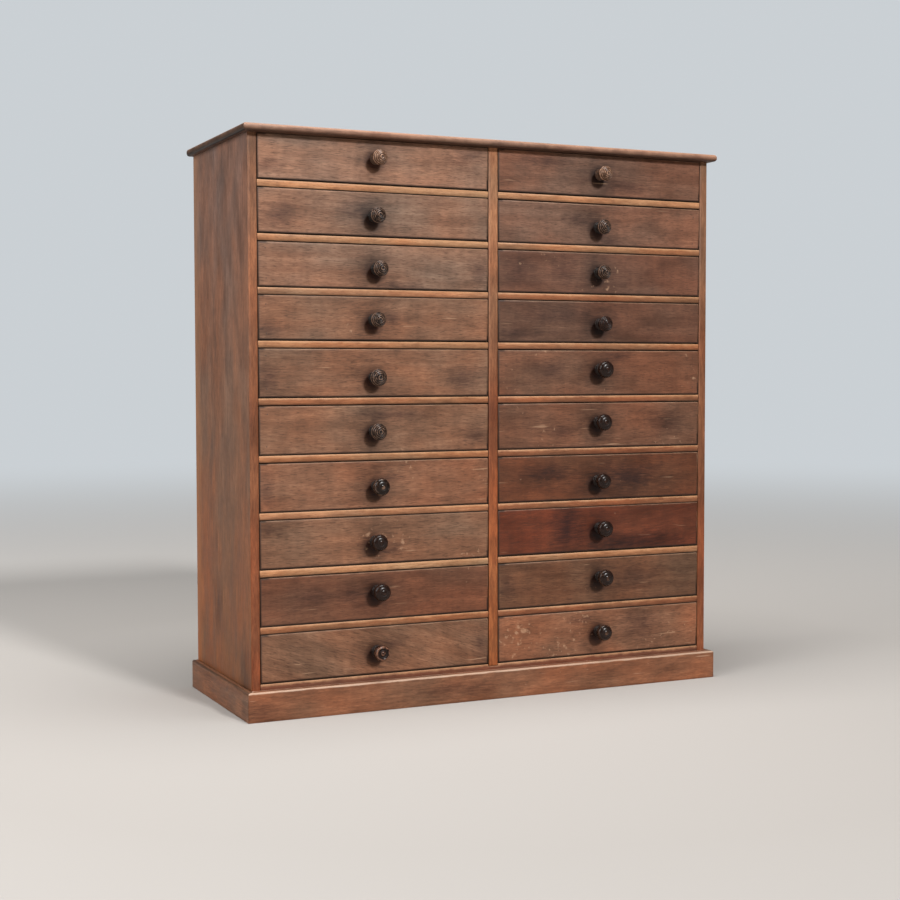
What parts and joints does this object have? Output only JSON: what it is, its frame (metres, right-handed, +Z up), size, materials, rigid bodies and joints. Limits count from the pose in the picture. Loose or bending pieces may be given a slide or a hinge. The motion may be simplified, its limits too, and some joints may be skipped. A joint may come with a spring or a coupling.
{
  "type": "parts cabinet",
  "caption": "Wooden small-parts cabinet: side-by-side columns of shallow sliding drawers with turned knobs, in a thin boarded case with an overhanging top and a plinth.",
  "frame": {"origin": "middle of the cabinet's plan, on the surface it stands on", "axes": "+Z up, drawers open towards -Y, +X to the right as seen from the front"},
  "size_m": [0.7194, 0.2784, 0.77],
  "materials": {
    "top_wood": "old wax, worn edges",
    "case_wood": "old wax, satin",
    "edge_wood": "worn wax, satin",
    "back_wood": "bare, aged",
    "inner_wood": "bare, aged",
    "plinth_wood": "old wax, scuffed",
    "drawer_front_wood": "dark wax, satin",
    "drawer_lining_wood": "bare, aged",
    "knob_wood": "dark polish, handled"
  },
  "bodies": {
    "carcass": {"top_slab": "top_wood", "side_left": "case_wood", "side_right": "case_wood", "centre_divider": "edge_wood", "case_floor": "edge_wood", "back_boards": "back_wood", "batten_left": "inner_wood", "battens_centre": "inner_wood", "batten_right": "inner_wood", "plinth_front": "plinth_wood", "plinth_left": "plinth_wood", "plinth_right": "plinth_wood", "glue_strip": "inner_wood", "rails_left": "edge_wood", "rails_right": "edge_wood", "runners_left_outer": "inner_wood", "runners_left_inner": "inner_wood", "runners_right_inner": "inner_wood", "runners_right_outer": "inner_wood"},
    "drawer_left_01": {"drawer_left_01_front": "drawer_front_wood", "drawer_left_01_box": "drawer_lining_wood"},
    "drawer_left_02": {"drawer_left_02_front": "drawer_front_wood", "drawer_left_02_box": "drawer_lining_wood"},
    "drawer_left_03": {"drawer_left_03_front": "drawer_front_wood", "drawer_left_03_box": "drawer_lining_wood"},
    "drawer_left_04": {"drawer_left_04_front": "drawer_front_wood", "drawer_left_04_box": "drawer_lining_wood"},
    "drawer_left_05": {"drawer_left_05_front": "drawer_front_wood", "drawer_left_05_box": "drawer_lining_wood"},
    "drawer_left_06": {"drawer_left_06_front": "drawer_front_wood", "drawer_left_06_box": "drawer_lining_wood"},
    "drawer_left_07": {"drawer_left_07_front": "drawer_front_wood", "drawer_left_07_box": "drawer_lining_wood"},
    "drawer_left_08": {"drawer_left_08_front": "drawer_front_wood", "drawer_left_08_box": "drawer_lining_wood"},
    "drawer_left_09": {"drawer_left_09_front": "drawer_front_wood", "drawer_left_09_box": "drawer_lining_wood"},
    "drawer_left_10": {"drawer_left_10_front": "drawer_front_wood", "drawer_left_10_box": "drawer_lining_wood"},
    "drawer_right_01": {"drawer_right_01_front": "drawer_front_wood", "drawer_right_01_box": "drawer_lining_wood"},
    "drawer_right_02": {"drawer_right_02_front": "drawer_front_wood", "drawer_right_02_box": "drawer_lining_wood"},
    "drawer_right_03": {"drawer_right_03_front": "drawer_front_wood", "drawer_right_03_box": "drawer_lining_wood"},
    "drawer_right_04": {"drawer_right_04_front": "drawer_front_wood", "drawer_right_04_box": "drawer_lining_wood"},
    "drawer_right_05": {"drawer_right_05_front": "drawer_front_wood", "drawer_right_05_box": "drawer_lining_wood"},
    "drawer_right_06": {"drawer_right_06_front": "drawer_front_wood", "drawer_right_06_box": "drawer_lining_wood"},
    "drawer_right_07": {"drawer_right_07_front": "drawer_front_wood", "drawer_right_07_box": "drawer_lining_wood"},
    "drawer_right_08": {"drawer_right_08_front": "drawer_front_wood", "drawer_right_08_box": "drawer_lining_wood"},
    "drawer_right_09": {"drawer_right_09_front": "drawer_front_wood", "drawer_right_09_box": "drawer_lining_wood"},
    "drawer_right_10": {"drawer_right_10_front": "drawer_front_wood", "drawer_right_10_box": "drawer_lining_wood"}
  },
  "joints": [
    {"name": "drawer_left_01_slide", "type": "slide", "parent": "carcass", "child": "drawer_left_01", "axis": [0, -1, 0], "range_m": [0, 0.19]},
    {"name": "drawer_left_02_slide", "type": "slide", "parent": "carcass", "child": "drawer_left_02", "axis": [0, -1, 0], "range_m": [0, 0.19]},
    {"name": "drawer_left_03_slide", "type": "slide", "parent": "carcass", "child": "drawer_left_03", "axis": [0, -1, 0], "range_m": [0, 0.19]},
    {"name": "drawer_left_04_slide", "type": "slide", "parent": "carcass", "child": "drawer_left_04", "axis": [0, -1, 0], "range_m": [0, 0.19]},
    {"name": "drawer_left_05_slide", "type": "slide", "parent": "carcass", "child": "drawer_left_05", "axis": [0, -1, 0], "range_m": [0, 0.19]},
    {"name": "drawer_left_06_slide", "type": "slide", "parent": "carcass", "child": "drawer_left_06", "axis": [0, -1, 0], "range_m": [0, 0.19]},
    {"name": "drawer_left_07_slide", "type": "slide", "parent": "carcass", "child": "drawer_left_07", "axis": [0, -1, 0], "range_m": [0, 0.19]},
    {"name": "drawer_left_08_slide", "type": "slide", "parent": "carcass", "child": "drawer_left_08", "axis": [0, -1, 0], "range_m": [0, 0.19]},
    {"name": "drawer_left_09_slide", "type": "slide", "parent": "carcass", "child": "drawer_left_09", "axis": [0, -1, 0], "range_m": [0, 0.19]},
    {"name": "drawer_left_10_slide", "type": "slide", "parent": "carcass", "child": "drawer_left_10", "axis": [0, -1, 0], "range_m": [0, 0.19]},
    {"name": "drawer_right_01_slide", "type": "slide", "parent": "carcass", "child": "drawer_right_01", "axis": [0, -1, 0], "range_m": [0, 0.19]},
    {"name": "drawer_right_02_slide", "type": "slide", "parent": "carcass", "child": "drawer_right_02", "axis": [0, -1, 0], "range_m": [0, 0.19]},
    {"name": "drawer_right_03_slide", "type": "slide", "parent": "carcass", "child": "drawer_right_03", "axis": [0, -1, 0], "range_m": [0, 0.19]},
    {"name": "drawer_right_04_slide", "type": "slide", "parent": "carcass", "child": "drawer_right_04", "axis": [0, -1, 0], "range_m": [0, 0.19]},
    {"name": "drawer_right_05_slide", "type": "slide", "parent": "carcass", "child": "drawer_right_05", "axis": [0, -1, 0], "range_m": [0, 0.19]},
    {"name": "drawer_right_06_slide", "type": "slide", "parent": "carcass", "child": "drawer_right_06", "axis": [0, -1, 0], "range_m": [0, 0.19]},
    {"name": "drawer_right_07_slide", "type": "slide", "parent": "carcass", "child": "drawer_right_07", "axis": [0, -1, 0], "range_m": [0, 0.19]},
    {"name": "drawer_right_08_slide", "type": "slide", "parent": "carcass", "child": "drawer_right_08", "axis": [0, -1, 0], "range_m": [0, 0.19]},
    {"name": "drawer_right_09_slide", "type": "slide", "parent": "carcass", "child": "drawer_right_09", "axis": [0, -1, 0], "range_m": [0, 0.19]},
    {"name": "drawer_right_10_slide", "type": "slide", "parent": "carcass", "child": "drawer_right_10", "axis": [0, -1, 0], "range_m": [0, 0.19]}
  ]
}
